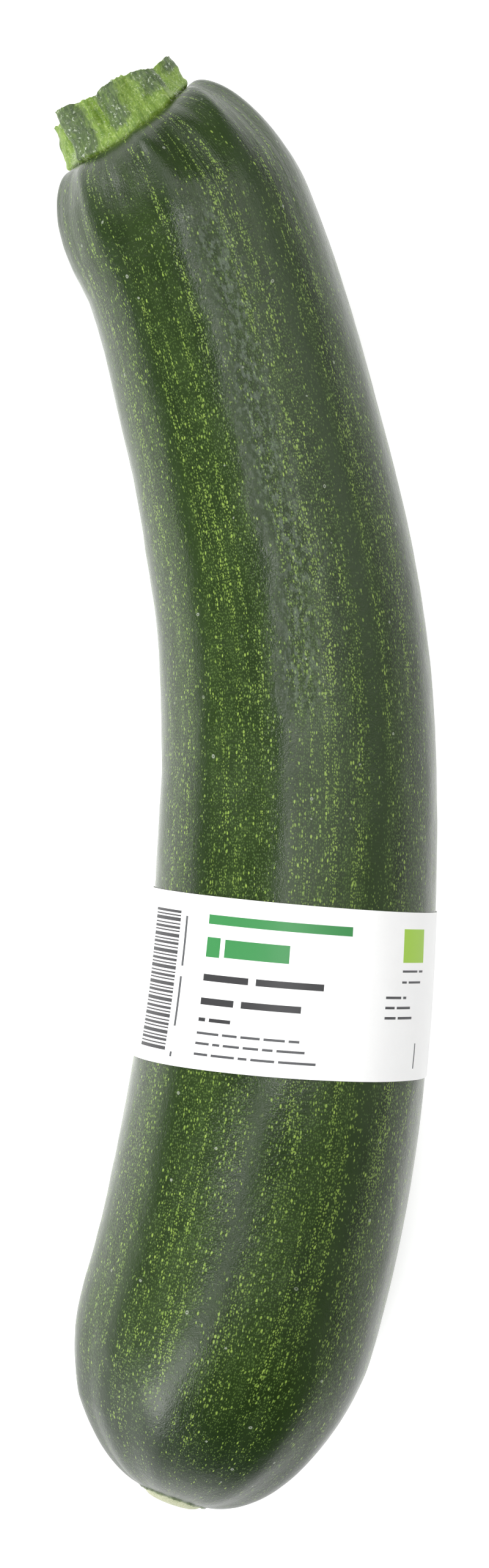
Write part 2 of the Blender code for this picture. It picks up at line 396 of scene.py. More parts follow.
def build_fruit():
    s, rho, sink = fruit_rows()
    rows = len(s)
    phi = -math.pi + 2.0 * math.pi * np.arange(AROUND) / AROUND
    S, PH = np.meshgrid(s, phi, indexing="ij")
    RHO = np.repeat(rho[:, None], AROUND, 1)
    deg = np.degrees(PH)

    # meridian length, for the pattern's own coordinates
    step = np.hypot(np.diff(rho), np.diff(s) + np.diff(-sink))
    w = np.concatenate([[2.0], 2.0 + np.cumsum(np.maximum(step, 0.05))])
    W = np.repeat(w[:, None], AROUND, 1)
    length = w[-1] + rho[-1]

    crest = crest_at(S, deg, 9.5)
    cyl = np.stack([25.0 * np.cos(PH), 25.0 * np.sin(PH), W], -1)
    flat = cyl.reshape(-1, 3)
    shape = S.shape
    dents = perlin(flat * np.array([1 / 7.5, 1 / 7.5, 1 / 11]), 2).reshape(shape)
    lumps = perlin(flat / np.array([3.1, 3.1, 3.8]), 3).reshape(shape)
    fine = perlin(flat / np.array([1.5, 1.5, 1.7]), 4).reshape(shape)
    # the scuffed strip along the top, nearer the stem: rougher lumps in the skin, and in
    # the skin's colour a painted highlight where the overhead light's reflection falls
    middle = np.interp(S, (20.0, 45.0, 60.0, 75.0, 83.0, 93.0, 112.0),
                       (6.0, 5.0, 1.0, 1.0, 6.0, 1.5, 3.0))
    middle = middle + 3.5 * perlin(flat * np.array([0.0, 0.0, 0.16]),
                                   8).reshape(shape)
    scuff_and_sheen = np.exp(-((deg - middle) / 8.0) ** 2) * band(S, 16.0, 116.0, 12.0)
    # fine furrows that run down from the stem
    furrow = perlin(flat * np.array([0.9, 0.9, 0.05]), 6).reshape(shape)

    body = smooth(RHO / 12.0 - 0.1)      # fades the relief out at both poles
    relief = broad_relief(S, deg) + 0.10 * dents + 0.045 * lumps + 0.018 * fine
    relief += 0.10 * furrow * np.exp(-(S / 30.0) ** 2)
    wrinkle = perlin(flat * np.array([0.30, 0.30, 0.85]), 9).reshape(shape)
    relief += scuff_and_sheen * (0.20 * lumps + 0.12 * fine + 0.19 * wrinkle)
    relief = relief * body
    # rough rim round the scar
    in_rim = np.exp(-((RHO - rho[-10]) / 0.55) ** 2) * (S > AXIS_LENGTH - 2.0)
    rough = perlin(np.stack([np.cos(PH), np.sin(PH), W], -1).reshape(-1, 3)
                   * np.array([9.0, 9.0, 1.5]), 5).reshape(shape)

    point, right = axis(S)
    tangent = np.stack([right[..., 1], -right[..., 0],
                        np.zeros_like(S)], -1)        # down the axis
    r = RHO + relief
    pos = point + (r * np.sin(PH))[..., None] * right
    pos[..., 2] += r * np.cos(PH)
    along = sink[:, None] + 0.0 * S
    along = along + 0.28 * rough * in_rim
    along = np.where(S > 100.0, -along, along)
    along += seat_tilt(S, np.cos(PH)) * np.minimum(1.0, RHO / 12.0)
    along -= end_tilt(S, r * np.cos(PH))
    pos += along[..., None] * tangent
    pos[..., 2] = np.maximum(pos[..., 2], 0.0)

    verts = pos.reshape(-1, 3)
    faces = ring_faces(rows, AROUND)
    first = len(verts)
    caps = np.array([pos[0].mean(0), pos[-1].mean(0)])
    verts = np.concatenate([verts, caps])
    base = (rows - 1) * AROUND
    for j in range(AROUND):
        k = (j + 1) % AROUND
        faces.append((k, j, first))
        faces.append((base + j, base + k, first + 1))
    obj = mesh_object("fruit_skin", verts, faces)

    point_attribute(obj, "cyl", np.concatenate(
        [flat, [[0.0, 0.0, 0.0], [0.0, 0.0, length]]]))
    point_attribute(obj, "crest", np.concatenate([crest.ravel(), [0.0, 0.0]]))
    point_attribute(obj, "scuff_and_sheen", np.concatenate([scuff_and_sheen.ravel(), [0.0, 0.0]]))
    is_scar = (S > AXIS_LENGTH - 2.0) * smooth((rho[-9] - RHO + 0.35) / 0.5)
    is_rim = (S > AXIS_LENGTH - 2.0) * np.exp(
        -((RHO - rho[-9] - 0.1 + 0.5 * rough) / 0.42) ** 2)
    point_attribute(obj, "scar", np.concatenate([is_scar.ravel(), [0.0, 1.0]]))
    point_attribute(obj, "rim", np.concatenate([is_rim.ravel(), [0.0, 0.0]]))
    # pattern coordinates: once round, and along the meridian
    u = (np.arange(AROUND + 1) / AROUND)
    v = w / length
    uv = []
    for i in range(rows - 1):
        for j in range(AROUND):
            uv += [(u[j], v[i]), (u[j + 1], v[i]),
                   (u[j + 1], v[i + 1]), (u[j], v[i + 1])]
    for j in range(AROUND):
        m = (u[j] + u[j + 1]) / 2.0
        uv += [(u[j + 1], v[0]), (u[j], v[0]), (m, 0.0)]
        uv += [(u[j], v[-1]), (u[j + 1], v[-1]), (m, 1.0)]
    corner_uv(obj, "OFBake", uv)
    corner_uv(obj, "skin", uv)
    return obj, length


def skin_material(length):
    n = Nodes("zucchini_skin")
    uv = n.uv("skin")
    cyl = n.attribute("cyl", vector=True)
    crest = n.attribute("crest")
    scuff_and_sheen = n.attribute("scuff_and_sheen")
    scar = n.attribute("scar")
    rim = n.attribute("rim")
    place = n.add("ShaderNodeSeparateXYZ")
    n.link(cyl, place.inputs[0])
    down = place.outputs[2]                    # mm down from the seat
    near = n.ramp(down, 75.0, 12.0)

    flat = n.vector("MULTIPLY", uv, (157.08, length, 1.0))
    wobble = n.add("ShaderNodeTexNoise", noise_dimensions="3D")
    n.put(wobble.inputs["Vector"], cyl)
    n.put(wobble.inputs["Scale"], 0.30)
    n.put(wobble.inputs["Detail"], 1.0)
    shift = n.vector("SUBTRACT", wobble.outputs["Color"], (0.5, 0.5, 0.5))
    shift = n.vector("MULTIPLY", shift, (0.8, 0.8, 0.0))
    flat = n.vector("ADD", flat, shift)

    # streaks that run the length of the fruit
    along = n.vector("MULTIPLY", cyl, (0.85, 0.85, 0.028))
    streak = n.noise(along, 1.0, 2.0, 0.6)
    thin = n.noise(n.vector("MULTIPLY", cyl, (0.80, 0.80, 0.014)), 1.0, 2.0,
                   0.6)
    breaks = n.noise(n.vector("MULTIPLY", cyl, (0.6, 0.6, 0.11)), 1.0, 2.0)
    line = n.math("MULTIPLY", n.ramp(thin, 0.535, 0.585),
                  n.ramp(breaks, 0.36, 0.54))
    far = n.math("SUBTRACT", 1.0, near)
    wide = n.noise(n.vector("MULTIPLY", cyl, (0.16, 0.16, 0.022)), 1.0, 2.0)
    patches = n.noise(n.vector("MULTIPLY", cyl, (0.30, 0.30, 0.12)), 1.0, 3.0)
    plain = n.ramp(crest, 0.70, 0.97)

    # fine net of small pale dots
    net = n.voronoi(n.vector("MULTIPLY", flat, (1 / 0.35, 1 / 0.56, 0.0)),
                    1.0, 0.80)
    net_random = n.add("ShaderNodeSeparateColor")
    n.link(net.outputs["Color"], net_random.inputs[0])
    net_size = n.math("MULTIPLY_ADD", net_random.outputs[1], 0.22, 0.20)
    net_dot = n.ramp(n.math("SUBTRACT", net_size, net.outputs["Distance"]),
                     -0.07, 0.12)
    net_share = n.math("MULTIPLY_ADD", patches, 0.8, 0.36)
    net_share = n.math("MULTIPLY", net_share,
                       n.math("MULTIPLY_ADD", far, 0.95, 0.05))
    net_share = n.math("ADD", net_share, n.math(
        "MULTIPLY", line, n.math("MULTIPLY_ADD", near, 0.78, 0.22)))
    net_share = n.math("MULTIPLY", net_share,
                       n.math("SUBTRACT", 1.0,
                              n.math("MULTIPLY", plain, 0.70)))
    thinning = n.ramp(down, 236.0, 266.0, 1.0, 0.35)
    net_share = n.math("MULTIPLY", net_share, thinning)
    net_on = n.ramp(n.math("SUBTRACT", net_share, net_random.outputs[0]),
                    -0.04, 0.04)
    net_mask = n.math("MULTIPLY", net_dot, net_on)

    # larger, longer dots in chains along the streaks
    chain = n.voronoi(n.vector("MULTIPLY", flat, (1 / 0.50, 1 / 0.98, 0.0)),
                      1.0, 0.75)
    chain_random = n.add("ShaderNodeSeparateColor")
    n.link(chain.outputs["Color"], chain_random.inputs[0])
    chain_size = n.math("MULTIPLY_ADD", chain_random.outputs[1], 0.20, 0.16)
    chain_dot = n.ramp(
        n.math("SUBTRACT", chain_size, chain.outputs["Distance"]),
        -0.08, 0.12)
    chain_share = n.math("MULTIPLY", far,
                         n.ramp(streak, 0.40, 0.62, 0.10, 0.34))
    chain_share = n.math("ADD", chain_share, n.math(
        "MULTIPLY", line, n.math("MULTIPLY_ADD", near, 0.40, 0.18)))
    chain_share = n.math("MULTIPLY", chain_share,
                         n.math("SUBTRACT", 1.0,
                                n.math("MULTIPLY", plain, 0.80)))
    chain_share = n.math("MULTIPLY", chain_share, thinning)
    chain_on = n.ramp(
        n.math("SUBTRACT", chain_share, chain_random.outputs[0]),
        -0.04, 0.04)
    chain_mask = n.math("MULTIPLY", chain_dot, chain_on)

    # corky specks and rings, far apart
    cork = n.voronoi(n.vector("MULTIPLY", flat, (1 / 9.0, 1 / 9.0, 0.0)),
                     1.0, 1.0)
    cork_random = n.add("ShaderNodeSeparateColor")
    n.link(cork.outputs["Color"], cork_random.inputs[0])
    ring_at = n.math("MULTIPLY_ADD", cork_random.outputs[1], 0.022, 0.004)
    ring = n.math("ABSOLUTE",
                  n.math("SUBTRACT", cork.outputs["Distance"], ring_at))
    ring = n.ramp(ring, 0.018, 0.006)
    cork_mask = n.math("MULTIPLY", ring,
                       n.ramp(cork_random.outputs[0], 0.62, 0.66))

    # colours
    deep = n.mix(n.ramp(wide, 0.35, 0.65), (0.0109, 0.0239, 0.0031),
                 (0.0161, 0.0335, 0.0048))
    green = n.mix(n.math("MULTIPLY", n.ramp(patches, 0.35, 0.7), 0.5),
                  deep, (0.0231, 0.0454, 0.0075))
    green = n.mix(n.math("MULTIPLY", plain, 0.45), green,
                  (0.0150, 0.0329, 0.0064))
    green = n.mix(n.ramp(down, 236.0, 264.0, 0.0, 0.75), green,
                  (0.0076, 0.0178, 0.0057))
    pale = n.mix(streak, (0.0420, 0.0800, 0.0157), (0.0689, 0.1187, 0.0238))
    bright = n.mix(chain_random.outputs[2], (0.1250, 0.2080, 0.0330),
                   (0.2500, 0.3600, 0.0650))
    pale = n.mix(n.math("MULTIPLY", line, 0.7), pale, bright)
    color = n.mix(n.math("MULTIPLY", net_mask, 0.88), green, pale)
    color = n.mix(n.math("MULTIPLY", chain_mask, 0.9), color, bright)
    color = n.mix(n.math("MULTIPLY", cork_mask, 0.6), color,
                  (0.3318, 0.3713, 0.2844))
    scar_color = n.mix(n.ramp(n.noise(cyl, 1.6, 4.0), 0.35, 0.65), (0.3318, 0.3634, 0.2133),
                       (0.5214, 0.5214, 0.3792))
    # greyer, paler skin along the scuffed strip: partly scuffed wax, partly a painted
    # highlight standing in for the overhead light's reflection
    wax_haze_and_painted_highlight = n.math("MULTIPLY", scuff_and_sheen, n.ramp(
        n.noise(n.vector("MULTIPLY", cyl, (1.0, 1.0, 0.55)), 1.0, 5.0, 0.7),
        0.47, 0.60))
    color = n.mix(n.math("MULTIPLY", wax_haze_and_painted_highlight, 0.24), color,
                  (0.27, 0.32, 0.27))
    flake = n.math("MULTIPLY", n.ramp(n.noise(cyl, 3.4, 4.0, 0.7), 0.50, 0.64),
                   0.55)
    scar_color = n.mix(flake, scar_color, (0.13, 0.15, 0.06))
    color = n.mix(scar, color, scar_color)
    rim_color = n.mix(n.ramp(n.noise(cyl, 2.4, 3.0), 0.42, 0.6),
                      (0.0277, 0.0514, 0.0095), (0.1264, 0.1896, 0.0355))
    color = n.mix(n.math("MULTIPLY", rim, 0.95), color, rim_color)

    # relief too fine for the mesh
    grain = n.noise(cyl, 3.6, 2.0, 0.6)
    pores = n.noise(cyl, 1.35, 2.0, 0.5)
    height = n.math("MULTIPLY_ADD", grain, 0.95, n.math(
        "MULTIPLY", pores, 1.0))
    height = n.math("MULTIPLY_ADD", net_mask, 0.16, height)
    height = n.math("MULTIPLY_ADD", chain_mask, 0.22, height)
    height = n.math("MULTIPLY_ADD", cork_mask, 0.9, height)
    crackle = n.noise(cyl, 1.5, 4.0, 0.65)
    height = n.math("MULTIPLY_ADD", n.math("MULTIPLY", scuff_and_sheen, crackle), 9.0,
                    height)
    lines = n.noise(n.vector("MULTIPLY", cyl, (3.2, 3.2, 0.10)), 1.0, 2.0)
    height = n.math("MULTIPLY_ADD", n.math("MULTIPLY", near, lines), 0.9,
                    height)
    normal = n.bump(height, 0.000050)
    rough = n.math("MULTIPLY_ADD", patches, 0.14, 0.13)
    rough = n.math("MULTIPLY_ADD", scuff_and_sheen, -0.07, rough)
    rough = n.math("MULTIPLY_ADD", scar, 0.3, rough)
    rough = n.math("MULTIPLY_ADD", n.ramp(down, 195.0, 240.0), 0.10, rough)
    dull = n.math("MULTIPLY", n.ramp(down, 118.0, 140.0),
                  n.ramp(down, 190.0, 160.0))
    across = place.outputs[1]
    dull = n.math("MULTIPLY", dull, n.math(
        "MULTIPLY", n.ramp(across, -5.0, 0.0), n.ramp(across, 12.0, 8.0)))
    rough = n.math("MULTIPLY_ADD", dull, 0.22, rough)

    n.set(Base_Color=color, Roughness=rough, Normal=normal)
    n.shader.inputs["IOR"].default_value = 1.43
    n.shader.inputs["Specular IOR Level"].default_value = 0.5
    return n.material


# ---------------------------------------------------------------------- stem
STEM_CENTRE = (-21.3, 117.1)
STEM_RIDGES = ((-8.0, 13.6), (26.0, 10.6), (47.0, 12.9), (73.0, 11.7),
               (93.0, 12.5), (113.0, 11.0), (143.0, 13.3), (172.0, 10.6),
               (198.0, 13.9), (228.0, 10.9), (256.0, 12.6), (280.0, 11.0),
               (306.0, 12.8), (330.0, 11.2), (352.0, 13.6))
CUT_HEIGHT = ((-8.0, 8.3), (24.0, 7.0), (44.0, 6.3), (73.0, 8.1),
              (93.0, 8.1), (113.0, 8.4), (143.0, 10.3), (172.0, 9.6),
              (198.0, 10.3), (228.0, 9.9), (256.0, 9.8), (280.0, 9.3),
              (306.0, 8.8), (330.0, 8.4), (352.0, 8.3))
CUT_FACTOR = ((-8.0, 0.94), (42.0, 0.88), (93.0, 1.0), (143.0, 0.97),
              (198.0, 0.84), (270.0, 0.95), (352.0, 0.94))
CREASES = ((26.0, 4.0, 1.9), (73.0, 4.5, 0.35), (113.0, 4.5, 0.8),
           (172.0, 4.0, 1.1), (228.0, 4.5, 0.8), (280.0, 4.5, 0.7),
           (330.0, 4.0, 0.8))
# where the rind is dark: angle, half width in degrees, how far it reaches
DARK_PATCHES = ((137.0, 17.0, 0.16), (97.0, 12.5, 0.34), (51.0, 20.0, 0.50),
                (-2.0, 16.0, 0.66), (202.0, 12.0, 0.55), (256.0, 15.0, 0.40),
                (306.0, 15.0, 0.45))


def periodic(table, degrees):
    """Periodic cubic curve through a table that repeats its first row."""
    period = [(a - 360.0, v) for a, v in table[:-1]] + list(table[:-1]) \
        + [(a + 360.0, v) for a, v in table[:-1]]
    start = table[0][0]
    d = (np.asarray(degrees) - start) % 360.0 + start
    return natural_spline(period, d)


def stem_frame():
    point, right = axis(np.array(0.0))
    out = np.array([-right[1], right[0], 0.0])
    middle = np.array([STEM_CENTRE[0] + ORIGIN_SHIFT[0],
                       STEM_CENTRE[1] + ORIGIN_SHIFT[1], point[2]])
    base = point + right * np.dot(middle - point, right)
    return base, right, out, np.array([0.0, 0.0, 1.0])


def stem_surface(theta, t):
    """Point on the stub's side: theta in radians from the outer side towards
    the top, t from 0 at the seat to 1 at the cut."""
    deg = np.degrees(theta)
    ridge = periodic(STEM_RIDGES, deg)
    top = periodic(CUT_HEIGHT, deg)
    foot = -1.2 - 1.9 * np.sin(theta) + 1.7 * np.cos(theta) ** 2
    h = foot + (top - foot) * t
    mean = 12.1
    # ridges stand out most at the cut; the foot is a rounded lip
    depth = 0.50 + 0.80 * smooth(t * 1.15)
    radius = mean + (ridge - mean) * depth
    for angle, width, deep in CREASES:
        d = wrapped(deg - angle)
        radius = radius - deep * np.exp(-(d / width) ** 2) \
            * smooth((t - 0.10) / 0.6)
    radius = radius * (1.0 + (periodic(CUT_FACTOR, deg) - 1.0)
                       * smooth((t - 0.35) / 0.65))
    low = (h - foot) / 1.0
    lip = 1.0 - 0.16 * np.exp(-low ** 1.3) + 0.045 * np.exp(
        -((t - 0.20) / 0.12) ** 2) - 0.025 * np.exp(-((t - 0.50) / 0.2) ** 2)
    return radius * lip, h


def dark_rind(theta, t):
    deg = np.degrees(theta)
    out = np.zeros_like(t)
    for angle, width, start in DARK_PATCHES:
        d = wrapped(deg - angle) / width
        out = np.maximum(out, np.exp(-d ** 4) * smooth(
            (t - start + 0.18) / 0.3))
    return out


def build_stem():
    base, right, out, up = stem_frame()
    around, high = 288, 66
    theta = 2.0 * math.pi * np.arange(around) / around
    t = np.linspace(0.0, 1.0, high)
    T, TH = np.meshgrid(t, theta, indexing="ij")
    radius, h = stem_surface(TH, T)
    ring = np.stack([12.0 * np.cos(TH), 12.0 * np.sin(TH), h], -1)
    flat = ring.reshape(-1, 3)
    shape = T.shape
    cord = perlin(flat * np.array([0.85, 0.85, 0.12]), 11).reshape(shape)
    lump = perlin(flat / 2.6, 12).reshape(shape)
    fine = perlin(flat / 0.85, 13).reshape(shape)
    ragged = perlin(np.stack([np.cos(theta) * 9, np.sin(theta) * 9,
                              np.zeros(around)], -1), 14)
    ragged2 = perlin(np.stack([np.cos(theta) * 30, np.sin(theta) * 30,
                               np.zeros(around)], -1), 15)
    fade = smooth(T * 4.0)
    folds = perlin(flat * np.array([0.42, 0.42, 0.26]), 17).reshape(shape)
    radius = radius + fade * (0.30 * cord * (0.4 + T) + 0.42 * lump
                              + 0.16 * fine + 0.45 * folds)
    h = h + (0.32 * ragged + 0.22 * ragged2)[None, :] * T ** 3

    def place(rad, hh, th):
        shift = 0.70 + 0.12 * hh
        return base + (rad * np.cos(th) + shift)[..., None] * right \
            + hh[..., None] * out + (rad * np.sin(th))[..., None] * up

    side = place(radius, h, TH)
    rings = [side]
    tone = [np.stack([T, dark_rind(TH, T), lump], -1)]
    # the cut: a thin skin edge, then pale flesh, slightly dished
    edge_r, edge_h = radius[-1], h[-1]
    inner = (0.975, 0.94, 0.88, 0.80, 0.70, 0.58, 0.45, 0.32, 0.20, 0.09)
    for i, f in enumerate(inner):
        th = theta
        core_h = 8.0
        dish = 0.9 * smooth((0.99 - f) / 0.25)
        mix = f ** 1.4
        grain = perlin(np.stack([np.cos(th) * f * 10, np.sin(th) * f * 10,
                                 np.full(around, 3.0)], -1), 16)
        hh = edge_h * mix + core_h * (1.0 - mix) - dish + 0.35 * grain \
            * smooth((0.97 - f) * 8)
        rings.append(place(edge_r * f, hh, th)[None])
        tone.append(np.stack([np.full(around, 1.0 + (1.0 - f)),
                              grain, grain], -1)[None])
    pos = np.concatenate(rings)
    attr = np.concatenate(tone)
    rows = pos.shape[0]
    verts = pos.reshape(-1, 3)
    faces = [tuple(reversed(f)) for f in ring_faces(rows, around)]
    centre = len(verts)
    verts = np.concatenate([verts, pos[-1].mean(0)[None],
                            pos[0].mean(0)[None]])
    last = (rows - 1) * around
    for j in range(around):
        k = (j + 1) % around
        faces.append((last + k, last + j, centre))
        faces.append((j, k, centre + 1))
    faces = [tuple(reversed(f)) for f in faces]
    obj = mesh_object("stem_stub_skin", verts, faces)
    obj.data.set_sharp_from_angle(angle=math.radians(62))
    values = np.concatenate([attr.reshape(-1, 3), [[2.0, 0, 0], [0, 0, 0]]])
    point_attribute(obj, "stem", values)
    arc = np.stack([np.cos(TH) * 12.0, np.sin(TH) * 12.0, h], -1)
    caps = []
    for f in inner:
        caps.append(np.stack([np.cos(theta) * 12 * f, np.sin(theta) * 12 * f,
                              edge_h + (1 - f) * 3], -1)[None])
    own = np.concatenate([arc] + caps).reshape(-1, 3)
    own = np.concatenate([own, [[0, 0, 12.0], [0, 0, -2.0]]])
    point_attribute(obj, "own", own)
    return obj, (side, theta, t)


def stem_material():
    n = Nodes("stem_skin")
    own = n.attribute("own", vector=True)
    stem = n.add("ShaderNodeSeparateXYZ")
    n.link(n.attribute("stem", vector=True), stem.inputs[0])
    rise = stem.outputs[0]
    mottle = n.noise(n.vector("MULTIPLY", own, (0.55, 0.55, 0.45)), 1.0, 4.0,
                     0.65)
    fibre = n.noise(n.vector("MULTIPLY", own, (2.6, 2.6, 0.7)), 1.0, 3.0, 0.6)
    speck = n.noise(own, 2.6, 2.0, 0.5)
    green = n.mix(n.ramp(fibre, 0.3, 0.7), (0.090, 0.172, 0.012),
                  (0.195, 0.300, 0.038))
    green = n.mix(n.ramp(speck, 0.52, 0.72), green, (0.30, 0.39, 0.13))
    dark = n.mix(n.ramp(fibre, 0.34, 0.74), (0.022, 0.043, 0.014),
                 (0.085, 0.135, 0.042))
    edge = n.noise(n.vector("MULTIPLY", own, (1.5, 1.5, 0.45)), 1.0, 3.0, 0.7)
    where = n.math("MULTIPLY_ADD", mottle, 1.3, n.math(
        "MULTIPLY", stem.outputs[1], 0.95))
    where = n.math("MULTIPLY_ADD", edge, 1.1, where)
    dark_at = n.ramp(where, 1.50, 2.15)
    color = n.mix(n.math("MULTIPLY", dark_at, 0.88), green, dark)
    ruffle = n.add("ShaderNodeTexNoise", noise_dimensions="3D")
    n.put(ruffle.inputs["Vector"], own)
    n.put(ruffle.inputs["Scale"], 2.2)
    frayed = n.vector("MULTIPLY", n.vector(
        "SUBTRACT", ruffle.outputs["Color"], (0.5, 0.5, 0.5)), (1.1, 1.1, 1.1))
    frayed = n.vector("ADD", own, frayed)
    fuzz = n.voronoi(n.vector("MULTIPLY", frayed, (2.0, 2.0, 1.4)), 1.0, 1.0,
                     "3D")
    fuzz_random = n.add("ShaderNodeSeparateColor")
    n.link(fuzz.outputs["Color"], fuzz_random.inputs[0])
    fuzz_and_glint_mask = n.math("MULTIPLY", n.ramp(fuzz.outputs["Distance"],
                                          0.44, 0.24),
                       n.ramp(fuzz_random.outputs[0], 0.58, 0.64))
    fuzz_and_glint_mask = n.math("MULTIPLY", fuzz_and_glint_mask,
                       n.math("MULTIPLY_ADD", dark_at, 0.85, 0.12))
    # pale specks for the fine bristles on the rind, partly painted glints off them
    color = n.mix(n.math("MULTIPLY", fuzz_and_glint_mask, 0.80), color,
                  (0.46, 0.52, 0.40))
    # the cut face
    cut = n.ramp(rise, 1.015, 1.045)
    bundle = n.voronoi(n.vector("MULTIPLY", own, (0.42, 0.42, 0.0)), 1.0,
                       0.8, "3D")
    flesh = n.mix(n.noise(own, 1.6, 3.0), (0.36, 0.45, 0.17),
                  (0.56, 0.60, 0.33))
    flesh = n.mix(n.ramp(bundle.outputs["Distance"], 0.32, 0.18), flesh,
                  (0.24, 0.34, 0.10))
    color = n.mix(cut, color, flesh)
    height = n.math("MULTIPLY_ADD", fibre, 0.8, speck)
    height = n.math("MULTIPLY_ADD", fuzz_and_glint_mask, 0.5, height)
    normal = n.bump(height, 0.00013)
    n.set(Base_Color=color, Normal=normal,
          Roughness=n.math("MULTIPLY_ADD", fibre, 0.2, 0.42))
    n.shader.inputs["Subsurface Weight"].default_value = 0.12
    n.shader.inputs["Subsurface Radius"].default_value = (0.6, 1.0, 0.2)
    n.shader.inputs["Subsurface Scale"].default_value = 0.0016
    return n.material


# --------------------------------------------------------------------- label
LABEL_CENTRE = 157.8
LABEL_WIDTH = 29.6
LABEL_TILT = -0.35
PAPER = 0.11
OVERLAP = 15.0                       # degrees of paper doubled at the seam
SEAM = 158.0                         # where the outer end lies

# Plain marks only: (kind, from deg, to deg, from v, to v); v is 0 at the
# stem-side edge of the paper and 1 at the other.
MARKS = []


def words(kind, lengths, start, gap, v0, v1):
    at = start
    for size in lengths:
        MARKS.append((kind, at, at + size, v0, v1))
        at += size + gap


def lay_out_marks():
    # a block of plain parallel rules in a repeating rhythm
    v = 0.105
    rhythm = (0.0160, 0.0090, 0.0215, 0.0090)
    gaps = (0.0095, 0.0080, 0.0110)
    i = 0
    while v < 0.900:
        thick = rhythm[i % 4]
        MARKS.append(("black", -71.5, -51.5, v, v + thick))
        v += thick + gaps[i % 3]
        i += 1
    MARKS.append(("grey", -48.4, -47.2, 0.130, 0.420))
    MARKS.append(("grey", -48.4, -47.2, 0.480, 0.770))
    MARKS.append(("grey", -48.4, -47.2, 0.920, 0.950))
    MARKS.append(("leaf", -36.5, 21.5, 0.105, 0.160))
    MARKS.append(("leaf", -36.5, -30.5, 0.235, 0.350))
    MARKS.append(("leaf", -28.5, -2.5, 0.240, 0.345))
    words("black", (19.0, 26.0), -36.5, 3.0, 0.448, 0.488)
    words("black", (14.0, 23.0), -36.5, 3.0, 0.585, 0.625)
    words("black", (3.0, 9.0), -36.5, 1.6, 0.700, 0.722)
    words("grey", (9.5, 6.0, 7.5, 8.0, 4.0), -36.5, 1.4, 0.782, 0.797)
    words("grey", (6.0, 3.0, 6.5, 6.0, 4.0, 10.5), -36.5, 1.4, 0.842, 0.857)
    words("grey", (6.0, 9.5, 3.5, 9.0, 14.0), -36.5, 1.4, 0.905, 0.920)
    MARKS.append(("lime", 46.5, 61.0, 0.100, 0.300))
    words("grey", (10.0, 3.0), 46.5, 1.2, 0.345, 0.358)
    words("grey", (3.0, 8.5), 46.5, 1.2, 0.410, 0.423)
    words("grey", (8.5, 2.0), 38.0, 1.2, 0.500, 0.515)
    words("grey", (5.0, 8.5), 38.0, 1.2, 0.560, 0.575)
    words("grey", (6.0, 9.0), 38.0, 1.2, 0.620, 0.635)
    MARKS.append(("grey", 58.0, 58.8, 0.780, 0.930))


def label_radius(phi, s, layer):
    """Paper's radius: over the rib crests, and over itself at the seam."""
    deg = np.degrees(phi)
    start = SEAM - 360.0
    lap = smooth((deg - (SEAM - OVERLAP - 9.0)) / 8.0)
    ramp = 0.0 * start + lap * (PAPER + 0.05)
    return fruit_radius(s) + broad_relief(s, deg) + 0.16 + ramp + layer


